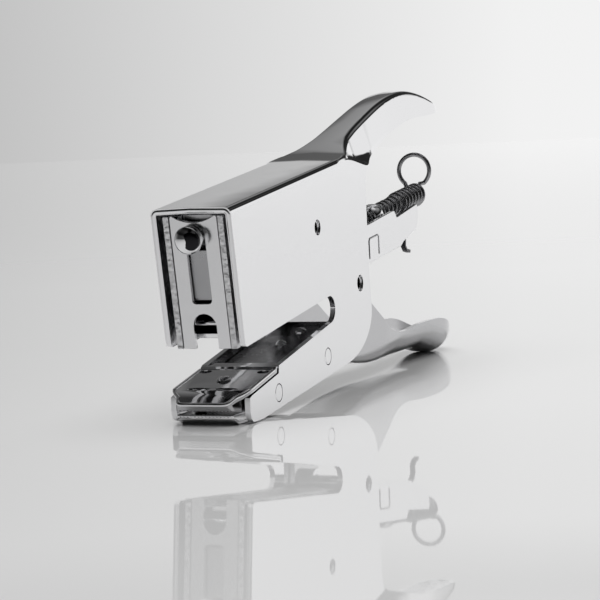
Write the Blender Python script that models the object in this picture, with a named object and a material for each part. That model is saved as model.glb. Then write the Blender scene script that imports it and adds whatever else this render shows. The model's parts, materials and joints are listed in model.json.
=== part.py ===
"""Stapling plier of chromed sheet steel, with a throat, a lever handle and a staple rail.

X runs across the stapler, Y from the nose to the handles and Z up. The stapler stands on
the plate under its lower jaw and on the tip of its lower handle, with its mouth open.
Side views are drawn in millimetres, with Y measured from the front rivet of the jaw.
"""

import math

import bmesh
import bpy
from mathutils import Matrix, Vector
from mathutils.geometry import tessellate_polygon

MM = 0.001

# Driving dimensions, in millimetres
HEAD_WIDTH = 19.5
SHEET = 1.3
RIVET_TO_MIDDLE = 58.13
PIVOT = (54.7, 25.7)
STOP_PIN = (27.7, 41.3)
JAW_RIVETS = ((0.0, 5.0), (30.9, 9.8))
THROAT_END = (33.6, 21.0)
THROAT_RADIUS = 3.25
JAW_DEPTH = 2.6
HEAD_CORNER = (-17.3, 17.0)
HEAD_LEAN = math.radians(8.74)
RAIL_SLOPE = 0.1205
RAIL_START = 20.6
RAIL_HEIGHT = 9.2
RAIL_HALF = 5.5
HOUSING_HALF = 7.35
PLATE_HALF = 5.75
RAIL_WALL = 1.0
ANVIL_START = 10.7
ANVIL_SLOPE = 0.2
ANVIL_BEND = -15.6
ANVIL_DROP = 0.28
ANVIL_THICK = 1.0
LEVER_HALF = 8.15
LEVER_SHEET = 1.2
PIVOT_RADIUS = 1.95
PIN_RADIUS = 1.75
PIN_RECESS = 0.5
RIVET_RADIUS = 2.0
CROSS_PIN = (-6.5, 44.0)
CROSS_PIN_RADIUS = 1.3
ROD_LIFT = 9.5
ROD_RADIUS = 0.75
GAP = 0.3
PIN_GAP = 0.15

HALF = HEAD_WIDTH / 2
INNER = HALF - SHEET
FAR = 40.0


# Lines of the side view

def head_top(y):
    return 51.63 + 0.1329 * y


def throat_top(y):
    return 19.43 + 0.1446 * y


def jaw_top(y):
    return 11.1 + 0.2025 * y


def jaw_bottom(y):
    return 1.48 + 0.1142 * y


def anvil_top(y):
    return ANVIL_START + ANVIL_SLOPE * y - ANVIL_DROP * max(0.0, ANVIL_BEND - y)


def rail_bottom(y):
    return RAIL_START + RAIL_SLOPE * y


def on_rail(a, height, y):
    """Point over a place on the rail's lower edge: a across, height square to the rail."""
    tilt = math.atan(RAIL_SLOPE)
    return world(a, y - height * math.sin(tilt), rail_bottom(y) + height * math.cos(tilt))


def nose(depth, height):
    """Side-view point at a depth behind the head's front edge and a height along it."""
    c, s = math.cos(HEAD_LEAN), math.sin(HEAD_LEAN)
    return (HEAD_CORNER[0] + depth * c - height * s, HEAD_CORNER[1] + depth * s + height * c)


def world(x, y, z):
    return Vector((x * MM, (y - RIVET_TO_MIDDLE) * MM, z * MM))


# Materials and object helpers

def material(name, color, roughness, metallic):
    mat = bpy.data.materials.new(name)
    mat.use_nodes = True
    shader = mat.node_tree.nodes["Principled BSDF"]
    shader.inputs["Base Color"].default_value = (*color, 1.0)
    shader.inputs["Roughness"].default_value = roughness
    shader.inputs["Metallic"].default_value = metallic
    return mat


def add_object(name, bm, mat):
    bmesh.ops.remove_doubles(bm, verts=bm.verts, dist=1e-7)
    bmesh.ops.recalc_face_normals(bm, faces=bm.faces)
    mesh = bpy.data.meshes.new(name)
    bm.to_mesh(mesh)
    bm.free()
    obj = bpy.data.objects.new(name, mesh)
    bpy.context.scene.collection.objects.link(obj)
    if mat:
        mesh.materials.append(mat)
        mesh.shade_smooth()
        mesh.set_sharp_from_angle(angle=math.radians(30))
    return obj


def boolean(obj, other, operation):
    """Cuts or joins obj with a helper object that isn't rendered."""
    other.hide_render = True
    other.display_type = "WIRE"
    step = obj.modifiers.new(operation.title(), "BOOLEAN")
    step.operation = operation
    step.object = other
    step.solver = "EXACT"


def arc(center, radius, start, end, steps):
    """Points on an arc in the side view, with the angles in degrees."""
    points = []
    for i in range(steps + 1):
        a = math.radians(start + (end - start) * i / steps)
        points.append((center[0] + radius * math.cos(a), center[1] + radius * math.sin(a)))
    return points


def circle(center, radius, steps=20):
    return arc(center, radius, 0, 360, steps)[:-1]


def add_prism(bm, outline, low, high, place, holes=()):
    """Adds an outline with holes, extruded from low to high. place turns (a, b, depth) into a point."""
    loops = [outline, *holes]
    flat = [Vector((a, b, 0)) for loop in loops for a, b in loop]
    triangles = tessellate_polygon([[Vector((a, b, 0)) for a, b in loop] for loop in loops])
    ends = [[bm.verts.new(place(p.x, p.y, depth)) for p in flat] for depth in (low, high)]
    for verts in ends:
        for tri in triangles:
            bm.faces.new([verts[i] for i in tri])
    first = 0
    for loop in loops:
        count = len(loop)
        for i in range(count):
            a, b = first + i, first + (i + 1) % count
            bm.faces.new((ends[0][a], ends[0][b], ends[1][b], ends[1][a]))
        first += count


def across(a, b, depth):
    return world(depth, a, b)


def prism(name, outline, low, high, mat, holes=()):
    bm = bmesh.new()
    add_prism(bm, outline, low, high, across, holes)
    return add_object(name, bm, mat)


def loft(name, rings, mat):
    bm = bmesh.new()
    loops = [[bm.verts.new(world(*p)) for p in ring] for ring in rings]
    count = len(rings[0])
    for one, two in zip(loops, loops[1:]):
        for i in range(count):
            j = (i + 1) % count
            bm.faces.new((one[i], one[j], two[j], two[i]))
    bm.faces.new(loops[0])
    bm.faces.new(list(reversed(loops[-1])))
    return add_object(name, bm, mat)


def tube_across(name, center, radius, bore, half, mat):
    """A pin across the stapler. A bore makes it a tube."""
    holes = [circle(center, bore)] if bore else []
    return prism(name, circle(center, radius), -half, half, mat, holes)


def wire(name, points, radius, mat, sides=1):
    """A round wire with closed ends along points given in the side-view frame."""
    curve = bpy.data.curves.new(name, "CURVE")
    curve.dimensions = "3D"
    curve.bevel_depth = radius * MM
    curve.bevel_resolution = sides
    curve.use_fill_caps = True
    spline = curve.splines.new("POLY")
    spline.points.add(len(points) - 1)
    for knot, point in zip(spline.points, points):
        knot.co = (*world(*point), 1.0)
    obj = bpy.data.objects.new(name, curve)
    bpy.context.scene.collection.objects.link(obj)
    curve.materials.append(mat)
    return obj


def hermite(knots, y):
    """Smooth curve through (y, value, slope) knots, straight beyond its ends."""
    first, last = knots[0], knots[-1]
    if y <= first[0]:
        return first[1] + first[2] * (y - first[0])
    if y >= last[0]:
        return last[1] + last[2] * (y - last[0])
    for a, b in zip(knots, knots[1:]):
        if y <= b[0]:
            span = b[0] - a[0]
            t = (y - a[0]) / span
            return (
                (2 * t**3 - 3 * t**2 + 1) * a[1]
                + (t**3 - 2 * t**2 + t) * span * a[2]
                + (3 * t**2 - 2 * t**3) * b[1]
                + (t**3 - t**2) * span * b[2]
            )


def rounded(points, radii, steps, share=0.49):
    """Polyline with its corners rounded to the radii, as far as a share of each side allows."""
    result = [points[0]]
    for before, corner, after, radius in zip(points, points[1:], points[2:], radii):
        p, c, q = Vector(before), Vector(corner), Vector(after)
        u, v = (p - c).normalized(), (q - c).normalized()
        half_angle = u.angle(v) / 2
        setback = min(radius / math.tan(half_angle), (p - c).length * share, (q - c).length * share)
        center = c + (u + v).normalized() * setback / math.cos(half_angle)
        from_point = (c + u * setback) - center
        to_point = (c + v * setback) - center
        for i in range(steps + 1):
            way = from_point.slerp(to_point, i / steps).normalized()
            result.append(tuple(center + way * from_point.length))
    result.append(points[-1])
    return result


# The body sheet: side plates, top and upper handle

RIDGE = ((41.0, 57.08, 0.133), (58.4, 61.5, 0.40), (83.0, 69.8, 0.31), (111.5, 75.2, 0.03), (140.0, 70.4, -0.34))
FOLD_HALF = ((43.5, HALF, 0.0), (53.0, 7.9, -0.36), (64.0, 4.7, -0.12), (76.0, 4.15, 0.0), (118.0, 4.2, 0.01),
             (140.0, 5.2, 0.05))
WIDE_HALF = ((62.5, HALF, 0.0), (71.5, 7.6, -0.22), (84.0, 5.6, -0.10), (98.0, 4.7, 0.0), (140.0, 5.5, 0.02))
SHOULDER = ((43.5, 56.3, 0.05), (50.0, 57.0, -0.02), (61.7, 55.4, -0.12), (66.0, 55.6, 0.3), (80.0, 59.4, 0.24),
            (108.0, 66.4, 0.2), (126.0, 68.0, 0.08), (140.0, 69.6, 0.12))
HANDLE_END = 140.2
HANDLE_TIP_LENGTH = 9.0
BODY_STATIONS = (-30.0, 20.0, 43.5, 47.0, 50.5, 54.0, 57.5, 61.0, 65.0, 69.0, 74.0, 80.0, 88.0, 97.0, 106.0,
                 115.0, 123.0, 129.0, 133.0, 136.0, 138.0, 139.4)


def tip_scale(y, end, length):
    """Plan of a round tip: one before it starts, then down to nearly nothing at its end."""
    t = max(0.0, (y - (end - length)) / length)
    return math.sqrt(max(0.002, 1 - t * t))


def body_ring(y, inset):
    """Half-round top, folded edges and skirts of the body sheet at one station."""
    end = HANDLE_END - inset
    narrow = tip_scale(min(y, end), end, HANDLE_TIP_LENGTH)
    fold = (hermite(FOLD_HALF, y) - inset) * narrow
    wide = (hermite(WIDE_HALF, y) - inset) * narrow
    top = head_top(y) if y < RIDGE[0][0] else hermite(RIDGE, y)
    top -= inset
    crown = 0.25 if y < 50 else 0.45
    low = hermite(SHOULDER, y) if y > SHOULDER[0][0] else head_top(y) - 2.6
    low -= inset * 0.6
    fold = min(fold, wide - 0.01 * narrow)
    corner = max(0.3, (1.6 if y < 50 else 1.9) - inset) * min(1.0, narrow + 0.15)
    side = rounded(
        [(wide, -FAR), (wide, low), (fold, top - crown), (0.0, top)],
        [0.6, corner],
        3,
    )
    return [(x, y, z) for x, z in side] + [(-x, y, z) for x, z in reversed(side[:-1])]


def body_outline():
    """Side view of the body: head, throat, lower jaw, rear web and the lower edge of the handle."""
    end_y, end_z = THROAT_END
    tilt_top = math.degrees(math.atan(0.1446))
    tilt_low = math.degrees(math.atan(0.2025))
    throat = arc(THROAT_END, THROAT_RADIUS, 90 + tilt_top, -90 + tilt_low, 8)
    seat = ANVIL_THICK + GAP
    points = [nose(0, 45), nose(0, 1.2), nose(1.0, 0.3)]
    points += throat
    points += [(0.6, jaw_top(0.6)), (0.3, anvil_top(0.3) - seat), (-15.0, anvil_top(-15.0) - seat)]
    points += [(-16.3, anvil_top(-16.3) - seat), (-16.4, 3.0), (-16.0, 1.4), (-15.2, 0.6), (-14.2, 0.35), (-9.4, 0.4)]
    points += [(42.0, jaw_bottom(42.0)), (48.0, 7.2), (53.5, 9.0), (57.8, 11.5), (60.8, 14.6), (62.2, 18.5)]
    points += [(61.6, 26.0), (61.3, 34.0), (61.4, 50.0), (62.2, 53.6), (65.0, 55.2)]
    points += [(y, hermite(SHOULDER, y)) for y in (71.0, 80.0, 92.0, 104.0, 115.0, 126.0, 135.0, 139.0)]
    points += [(145.0, 72.0), (145.0, 90.0), (-30.0, 90.0), nose(0, 60)]
    return points


def make_body(mat):
    body = loft("body_shell", [body_ring(y, 0.0) for y in BODY_STATIONS], mat)
    profile = prism("body_profile", body_outline(), -30.0, 30.0, None)
    inner = loft("body_hollow", [body_ring(y, SHEET) for y in (-35.0, *BODY_STATIONS[1:-1])], None)
    boolean(body, profile, "INTERSECT")
    boolean(body, inner, "DIFFERENCE")
    holes = [(PIVOT, PIVOT_RADIUS), (STOP_PIN, PIN_RADIUS)]
    holes += [(center, RIVET_RADIUS) for center in JAW_RIVETS]
    bm = bmesh.new()
    for center, radius in holes:
        add_prism(bm, circle(center, radius + PIN_GAP), -12.0, 12.0, across)
    boolean(body, add_object("body_holes", bm, None), "DIFFERENCE")
    return body


# The lower jaw

def make_jaw(steel, chrome, dark):
    liner = 1.2
    outside = INNER - GAP
    floor = [(y, jaw_top(y) - JAW_DEPTH) for y in (-4.0, 31.0)]
    side = [*floor, (34.0, 14.0), (42.0, 13.6), (44.0, 10.0), (40.0, jaw_bottom(40.0) + 1.0), (0.0, 1.7), (-4.0, 1.7)]
    channel = prism("jaw_channel", side, -outside, outside, steel)
    under = [(y, z - liner) for y, z in floor]
    under = [(-8.0, under[0][1] - 0.8), *under, (33.5, 12.6), (41.5, 12.0), (60.0, -10.0), (-8.0, -10.0)]
    boolean(channel, prism("jaw_hollow", under, -outside + liner, outside - liner, None), "DIFFERENCE")
    bm = bmesh.new()
    for center in JAW_RIVETS:
        add_prism(bm, circle(center, RIVET_RADIUS + PIN_GAP), -12.0, 12.0, across)
    boolean(channel, add_object("jaw_channel_holes", bm, None), "DIFFERENCE")

    for name, center in zip(("jaw_rivet_front", "jaw_rivet_rear"), JAW_RIVETS):
        tube_across(name, center, RIVET_RADIUS, 0, HALF, chrome)

    base_half = outside - 1.1
    base = [(-5.0, 0.0), (-16.6, 0.0), (-18.7, 1.2), (-18.9, 1.6), (-18.3, 1.6), (-16.1, 0.75), (-5.0, 0.75)]
    prism("jaw_base_plate", base, -base_half, base_half, dark)

    teeth = 15
    strip_half = base_half - 0.3
    front = []
    for i in range(teeth):
        left = -strip_half + 2 * strip_half * i / teeth
        right = -strip_half + 2 * strip_half * (i + 1) / teeth
        step = left * 0.4 + right * 0.6
        front += [(left, -19.5), (step, -19.5), (step, -18.9), (right, -18.9)]
    bm = bmesh.new()
    plan = [(-strip_half, -5.0), *front, (strip_half, -5.0)]
    add_prism(bm, plan, 1.9, 2.5, world)
    add_object("notched_strip", bm, steel)

    low = 2.95
    seats = [(y, anvil_top(y) - ANVIL_THICK - GAP) for y in (-4.3, ANVIL_BEND, -17.0)]
    block = [(-17.0, low), (-4.3, low), *seats]
    prism("anvil_block", block, -outside + 0.3, outside - 0.3, steel)
    make_anvil(chrome)


def on_anvil(a, b, depth):
    """Plan point of the anvil: a across, b along Y, depth above its top face."""
    return world(a, b, anvil_top(b) + depth)


def anvil_section():
    """Side view of the anvil: raised rear lip, sloping top, and front edge bent down."""
    top = [(3.6, anvil_top(3.6)), (0.9, anvil_top(0.9)), (0.6, anvil_top(0.6) + 0.4), (-0.4, anvil_top(-0.4) + 0.4)]
    top += [(-0.9, anvil_top(-0.9)), (ANVIL_BEND, anvil_top(ANVIL_BEND)), (-20.5, anvil_top(-20.5))]
    lip = [(-21.0, anvil_top(-20.5) - 0.4), (-19.5, 3.35), (-18.9, 3.5)]
    under = [(y, anvil_top(y) - ANVIL_THICK) for y in (-19.5, ANVIL_BEND, 3.6)]
    return top + lip + under


def make_anvil(chrome):
    half = HALF - 0.25
    tongue = INNER - GAP
    right = [(tongue, 5.0), (tongue, 0.0), (half, 0.0), (half, -14.8), (9.2, -16.0), (8.3, -17.3), (7.3, -18.4)]
    right += [(6.8, -19.4), (6.3, -20.4), (5.6, -21.3)]
    anvil = prism("anvil_plate", anvil_section(), -half, half, chrome)
    bm = bmesh.new()
    plan = right + [(-x, y) for x, y in reversed(right)]
    add_prism(bm, plan, -5.0, 20.0, world)
    boolean(anvil, add_object("anvil_plan", bm, None), "INTERSECT")
    bm = bmesh.new()
    tilt = Matrix.Rotation(math.atan(ANVIL_SLOPE), 4, "X")
    for side in (-1, 1):
        place = Matrix.Translation(world(3.35 * side, -15.0, anvil_top(-15.0) + 0.1)) @ tilt
        shape = Matrix.Diagonal((3.0 * MM, 1.05 * MM, 0.7 * MM, 1.0))
        bmesh.ops.create_uvsphere(bm, u_segments=16, v_segments=8, radius=1.0, matrix=place @ shape)
    for side in (-1, 1):
        slot = [(7.2 * side + 1.45 * math.cos(a), -2.8 + 1.2 * math.sin(a)) for a in round_angles(14)]
        add_prism(bm, slot, -3.0, 2.0, on_anvil)
    rivet_hole = [(1.35 * math.cos(a), -8.8 + 1.35 * math.sin(a)) for a in round_angles(16)]
    add_prism(bm, rivet_hole, -3.0, 2.0, on_anvil)
    boolean(anvil, add_object("anvil_pockets", bm, None), "DIFFERENCE")
    bm = bmesh.new()
    profile = [(1.2, -ANVIL_THICK + 0.1), (1.2, 0.12), (1.7, 0.15), (1.6, 0.4), (1.15, 0.7), (0.45, 0.85)]
    turned(bm, profile, lambda radius, a, h: on_anvil(radius * math.cos(a), -8.8 + radius * math.sin(a), h), 16)
    add_object("anvil_rivet", bm, chrome)


def round_angles(count):
    return [2 * math.pi * i / count for i in range(count)]


def turned(bm, profile, place, count):
    """Adds a turned solid. The profile holds (radius, height) from one end cap to the other."""
    rings = [[bm.verts.new(place(r, a, h)) for a in round_angles(count)] for r, h in profile]
    for one, two in zip(rings, rings[1:]):
        for i in range(count):
            j = (i + 1) % count
            bm.faces.new((one[i], one[j], two[j], two[i]))
    bm.faces.new(rings[0])
    bm.faces.new(list(reversed(rings[-1])))


# The lever: lower handle with its two front arms

LEVER_BOTTOM = ((40.0, 7.2, 0.0), (50.0, 6.2, -0.12), (62.0, 4.5, -0.13), (76.0, 3.2, -0.05), (92.0, 2.9, 0.0),
                (110.0, 3.1, 0.0), (119.0, 1.9, -0.2), (129.0, 0.15, 0.0), (134.0, 0.4, 0.1), (140.4, 2.5, 0.55))
LEVER_WIDTH = ((75.0, LEVER_HALF, 0.0), (93.0, 7.5, 0.0), (116.0, LEVER_HALF, 0.0))
LEVER_ROUND = ((48.0, 1.6, 0.0), (82.0, 6.2, 0.1), (100.0, 6.9, 0.0), (135.0, 6.9, 0.0))
LEVER_END = 140.4
LEVER_TIP_LENGTH = 16.5
LEVER_STATIONS = (-20.0, 40.0, 48.0, 55.0, 62.0, 69.0, 76.0, 84.0, 93.0, 102.0, 110.0, 115.0, 120.0, 124.5,
                  129.0, 132.0, 135.0, 137.5, 139.3, 140.3)


def lever_ring(y, inset):
    end = LEVER_END - inset
    narrow = tip_scale(min(y, end), end, LEVER_TIP_LENGTH)
    half = (hermite(LEVER_WIDTH, y) - inset) * narrow
    low = hermite(LEVER_BOTTOM, y) + inset
    radius = hermite(LEVER_ROUND, y) - inset
    radius = max(0.3, radius * min(1.0, narrow + 0.1))
    side = rounded([(half, FAR * 2), (half, low), (0.0, low - 0.15 * narrow)], [radius], 5, 0.92)
    return [(x, y, z) for x, z in side] + [(-x, y, z) for x, z in reversed(side[:-1])]


def lever_outline():
    """Side view of the lever: arms, pivot ear, and the rim of the trough-shaped handle."""
    tip = arc(CROSS_PIN, 3.0, 270, 90, 6)
    top = [(0.0, 48.7), (20.0, 51.4), (34.0, 53.2), (40.0, 52.6), (44.5, 49.0), (49.5, 40.0), (55.0, 32.6)]
    top += [(58.6, 28.4), (61.5, 23.6), (64.0, 21.2), (67.1, 19.2)]
    rim = [(75.6, 14.5), (79.0, 12.5), (83.1, 10.9), (87.6, 10.0), (93.0, 9.7), (99.0, 10.1), (106.0, 10.55)]
    rim += [(116.0, 10.6), (122.0, 10.3), (128.0, 9.2), (134.0, 7.0), (138.5, 4.9), (142.0, 3.2)]
    under = [(145.0, -5.0), (47.3, -5.0), (46.0, 12.0), (46.2, 22.0), (43.6, 30.5), (38.0, 36.2), (27.0, 37.7)]
    return tip + top + rim + under


def make_lever(mat, steel, chrome):
    lever = loft("lower_handle", [lever_ring(y, 0.0) for y in LEVER_STATIONS], mat)
    profile = prism("lever_profile", lever_outline(), -30.0, 30.0, None)
    stations = (-25.0, *LEVER_STATIONS[1:-1])
    hollow = loft("lever_hollow", [lever_ring(y, LEVER_SHEET) for y in stations], None)
    boolean(lever, profile, "INTERSECT")
    boolean(lever, hollow, "DIFFERENCE")
    bm = bmesh.new()
    add_prism(bm, circle(PIVOT, PIVOT_RADIUS + PIN_GAP), -12.0, 12.0, across)
    add_prism(bm, circle(CROSS_PIN, CROSS_PIN_RADIUS + PIN_GAP, 16), -12.0, 12.0, across)
    add_prism(bm, stop_slot(), -12.0, 12.0, across)
    boolean(lever, add_object("lever_holes", bm, None), "DIFFERENCE")

    tube_across("lever_cross_pin", CROSS_PIN, CROSS_PIN_RADIUS, 0, LEVER_HALF - 0.05, steel)
    for name, side in (("pivot_spacer_left", -1), ("pivot_spacer_right", 1)):
        low, high = sorted((side * (RAIL_HALF + 0.25), side * (LEVER_HALF - LEVER_SHEET - 0.25)))
        prism(name, circle(PIVOT, 3.6), low, high, steel, [circle(PIVOT, PIVOT_RADIUS + PIN_GAP)])


def stop_slot():
    """Arc-shaped slot round the pivot, in which the stop pin ends the lever's travel."""
    away = Vector(STOP_PIN) - Vector(PIVOT)
    start = math.degrees(math.atan2(away.y, away.x))
    end = start - 18.6
    width = PIN_RADIUS + 0.25
    radius = away.length
    outer = arc(PIVOT, radius + width, start, end, 6)
    inner = arc(PIVOT, radius - width, end, start, 6)
    far_end = (PIVOT[0] + radius * math.cos(math.radians(end)), PIVOT[1] + radius * math.sin(math.radians(end)))
    near_cap = arc(STOP_PIN, width, start + 180, start, 6)[1:-1]
    far_cap = arc(far_end, width, end, end - 180, 6)[1:-1]
    return outer + far_cap + inner + near_cap


# The magazine: nose, housing and rail

def in_nose(a, b, depth):
    """Front-view point of the nose: a across, b up along it, depth behind the head's front edge."""
    y, z = nose(depth, b)
    return world(a, y, z)


def arch(half, bottom, top, steps=8):
    """Slot outline with a round top, from its left foot to its right foot."""
    curve = arc((0.0, top - half), half, 180, 0, steps)
    return [(-half, bottom), *curve, (half, bottom)]


def make_nose(satin, raw):
    half = PLATE_HALF
    top = 30.1
    crescent = [(half - 0.3, top), *arc((0.0, top + 8.0), 9.6, -59, -121, 8), (-half + 0.3, top)]
    outline = [(-half, -0.2), *arch(2.8, -0.2, 7.8), (half, -0.2), (half, top - 0.5), *crescent, (-half, top - 0.5)]
    slot = arc((0.0, 25.0), 2.4, 0, 180, 8)
    slot += arc((-1.5, 11.0), 0.9, 180, 270, 3) + arc((1.5, 11.0), 0.9, 270, 360, 3)
    bm = bmesh.new()
    add_prism(bm, outline, 0.9, 1.9, in_nose, [slot])
    add_object("nose_plate", bm, satin)

    wall_top = RAIL_HEIGHT - 1.2
    side = [nose(0.8, -0.2), nose(0.8, 29.9), nose(5.2, 29.9), nose(6.0, 29.0), nose(6.0, 14.0)]
    side += [(-8.5, rail_bottom(-8.5) + wall_top), (36.0, rail_bottom(36.0) + wall_top)]
    side += [(38.0, rail_bottom(38.0) + wall_top - 2.0), (38.0, rail_bottom(38.0) - 1.2), nose(3.9, -0.2)]
    housing = prism("magazine_housing", side, -HOUSING_HALF, HOUSING_HALF, raw)
    bm = bmesh.new()
    inside = [nose(2.2, -20.0), nose(2.2, 45.0), (50.0, 60.0), (50.0, rail_bottom(50.0) - GAP)]
    inside += [(4.0, rail_bottom(4.0) - GAP), (4.0, -20.0)]
    add_prism(bm, inside, 0.8 - HOUSING_HALF, HOUSING_HALF - 0.8, across)
    boolean(housing, add_object("housing_hollow", bm, None), "DIFFERENCE")
    bm = bmesh.new()
    front = [nose(-3.0, -20.0), nose(-3.0, 45.0), nose(3.0, 45.0), nose(3.0, -20.0)]
    add_prism(bm, front, -PLATE_HALF - 0.2, PLATE_HALF + 0.2, across)
    boolean(housing, add_object("housing_front", bm, None), "DIFFERENCE")


def rail_outline():
    tail = [(98.5, rail_bottom(98.5)), (100.6, 33.6), (111.2, 36.5), (112.9, 38.2), (113.1, 42.6), (112.3, 43.2)]
    top = [(96.6, 40.5), (95.6, 40.4), (94.0, 42.2), (92.4, 42.2), (66.0, rail_bottom(66.0) + RAIL_HEIGHT + 0.8)]
    top += [(60.0, rail_bottom(60.0) + RAIL_HEIGHT)]
    front = [nose(3.9, 10.4), nose(3.9, 1.5)]
    ear = arc(PIVOT, 3.7, 200, 340, 8)
    ear_start = [(49.0, rail_bottom(49.0)), (50.8, 25.2)]
    ear_end = [(58.6, 25.4), (60.5, rail_bottom(60.5))]
    return front + ear_start + ear + ear_end + tail + top


def make_rail(chrome, steel):
    hole = circle(PIVOT, PIVOT_RADIUS + PIN_GAP)
    rail = prism("staple_rail", rail_outline(), -RAIL_HALF, RAIL_HALF, chrome, [hole])
    inner = RAIL_HALF - RAIL_WALL
    front = nose(0.0, 0.0)[0]
    floor = [(y, rail_bottom(y) + 1.2) for y in (front - 5.0, 50.9, 58.5, 120.0)]
    trough = [*floor[:2], (50.9, 10.0), (58.5, 10.0), *floor[2:], (120.0, 70.0), (front - 5.0, 70.0)]
    boolean(rail, prism("rail_trough", trough, -inner, inner, None), "DIFFERENCE")

    bend = [(94.0, 33.9), (103.5, 35.1), (111.5, 35.8), (114.4, 34.9), (115.6, 33.2), (115.4, 31.4), (116.7, 30.2)]
    prism("tail_hook", band([*bend, (119.4, 29.7)], 0.45), -0.7, 0.7, steel)


def band(points, half):
    """Outline of a strip of even thickness along a bent line."""
    ways = [(Vector(q) - Vector(p)).normalized() for p, q in zip(points, points[1:])]
    ways = [ways[0], *[(a + b).normalized() for a, b in zip(ways, ways[1:])], ways[-1]]
    sides = [Vector((-way.y, way.x)) * half for way in ways]
    one = [tuple(Vector(p) + side) for p, side in zip(points, sides)]
    two = [tuple(Vector(p) - side) for p, side in zip(points, sides)]
    return one + two[::-1]


def make_staples(steel):
    """The strip of joined staples, which rides on the rail. It opens downwards."""
    start, end = -14.1, 36.5
    crown, leg, leg_length, half = 0.6, 0.5, 6.0, 6.35
    lift = RAIL_HEIGHT + GAP
    bm = bmesh.new()
    section = [(-half, -leg_length), (-half, crown), (half, crown), (half, -leg_length), (half - leg, -leg_length)]
    section += [(half - leg, 0.0), (-half + leg, 0.0), (-half + leg, -leg_length)]
    add_prism(bm, section, start, end, lambda a, b, y: on_rail(a, lift + b, y))
    add_object("staple_strip", bm, steel)


def rod_point(y):
    return rail_bottom(y) + ROD_LIFT


def make_pusher(steel, chrome, spring_steel):
    start, end = 36.9, 45.2
    half, lift = RAIL_HALF - RAIL_WALL - 0.35, RAIL_HEIGHT + GAP
    section = [(-half, -4.2), (-half, 2.6), (-half + 0.8, 3.4), (half - 0.8, 3.4), (half, 2.6), (half, -4.2)]
    middle = ROD_LIFT * math.cos(math.atan(RAIL_SLOPE)) - lift
    hole = [(1.1 * math.cos(a), middle + 1.1 * math.sin(a)) for a in round_angles(12)]
    bm = bmesh.new()
    add_prism(bm, section, start, end, lambda a, b, y: on_rail(a, lift + b, y), [hole])
    add_object("pusher", bm, steel)

    along = lambda r, a, y: world(r * math.cos(a), y, rod_point(y) + r * math.sin(a))
    bm = bmesh.new()
    turned(bm, [(ROD_RADIUS, 39.0), (ROD_RADIUS, 127.0)], along, 10)
    add_object("pusher_rod", bm, steel)

    bore = ROD_RADIUS + GAP
    dome = [(bore, 87.6), (2.2, 87.6), (2.9, 88.3), (3.35, 89.5), (3.4, 90.6), (3.15, 91.8), (2.5, 92.9), (bore, 93.4)]
    bm = bmesh.new()
    closed_ring(bm, dome, along, 18)
    add_object("rod_ferrule", bm, chrome)

    turns, radius, gauge = 13, 2.35, 0.42
    first, last = 45.6, 87.3
    points = []
    for i in range(turns * 8 + 1):
        y = first + (last - first) * i / (turns * 8)
        a = 2 * math.pi * i / 8
        points.append((radius * math.cos(a), y, rod_point(y) + radius * math.sin(a)))
    wire("pusher_spring", points, gauge, spring_steel, 0)
    wire("pull_ring", ring_route(), RING_WIRE, spring_steel, 1)


RING_WIRE = 0.62
RING_CENTER = (-0.9, 129.6, 52.3)
RING_RADIUS = 4.6


def ring_route(steps=10):
    """Wire that is wound round the rod and then stands up as a loop across the stapler."""
    small, large = 2.15, 2.75
    starts, middle, last = 94.3, 110.5, 127.6
    points = []
    small_turns, large_turns = 5.0, 6.5
    for i in range(int(small_turns * steps)):
        t = i / (small_turns * steps)
        y = starts + (middle - starts) * t
        a = 2 * math.pi * small_turns * t
        r = small + (large - small) * max(0.0, t * small_turns - small_turns + 1)
        points.append((r * math.cos(a), y, rod_point(y) + r * math.sin(a)))
    for i in range(int(large_turns * steps) + 1):
        t = i / (large_turns * steps)
        y = middle + (last - middle) * t
        a = 2 * math.pi * large_turns * t
        points.append((large * math.cos(a), y, rod_point(y) + large * math.sin(a)))
    last_side = math.copysign(1, points[-1][0])
    x, y, z = RING_CENTER
    points.append((last_side * large * 1.02, last + 0.7, rod_point(last) + 1.6))
    for i in range(19):
        a = math.radians(-40 + 260 * i / 18)
        points.append((x + last_side * RING_RADIUS * math.cos(a), y, z + RING_RADIUS * math.sin(a)))
    points.append((-last_side * large * 0.95, y + 0.4, rod_point(y) + 0.8))
    return points


def closed_ring(bm, profile, place, count):
    """Adds a turned ring: its closed (radius, height) profile never meets the axis."""
    rings = [[bm.verts.new(place(r, a, h)) for a in round_angles(count)] for r, h in profile]
    for one, two in zip(rings, rings[1:] + rings[:1]):
        for i in range(count):
            j = (i + 1) % count
            bm.faces.new((one[i], one[j], two[j], two[i]))


# The driver

def make_driver(satin, steel, chrome):
    bm = bmesh.new()
    blade = [(-6.2, 10.6), (6.2, 10.6), (6.2, 29.8), (3.6, 29.8), (3.6, 21.9), (-3.6, 21.9), (-3.6, 29.8), (-6.2, 29.8)]
    add_prism(bm, blade, 2.35, 3.15, in_nose)
    add_object("driver_blade", bm, satin)

    fork = [nose(3.45, 22.95), nose(17.9, 22.5), nose(17.9, 23.4), nose(9.1, 23.4), nose(9.1, 27.1), nose(17.9, 27.1)]
    fork += [nose(17.9, 28.4), nose(3.45, 29.8)]
    prism("driver_carrier", fork, -5.2, 5.2, steel)

    bm = bmesh.new()
    place = lambda r, a, h: in_nose(r * math.cos(a) - 0.8, 24.9 + r * math.sin(a), h)
    knob = [(1.4, 3.1), (1.4, 0.5), (2.6, 0.45), (2.8, 0.2), (2.85, -1.3), (2.75, -1.85), (2.35, -2.4), (1.7, -2.7)]
    turned(bm, [*knob, (0.35, -2.9)], place, 20)
    add_object("driver_stud", bm, chrome)


# The springs and pins of the body

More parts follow.
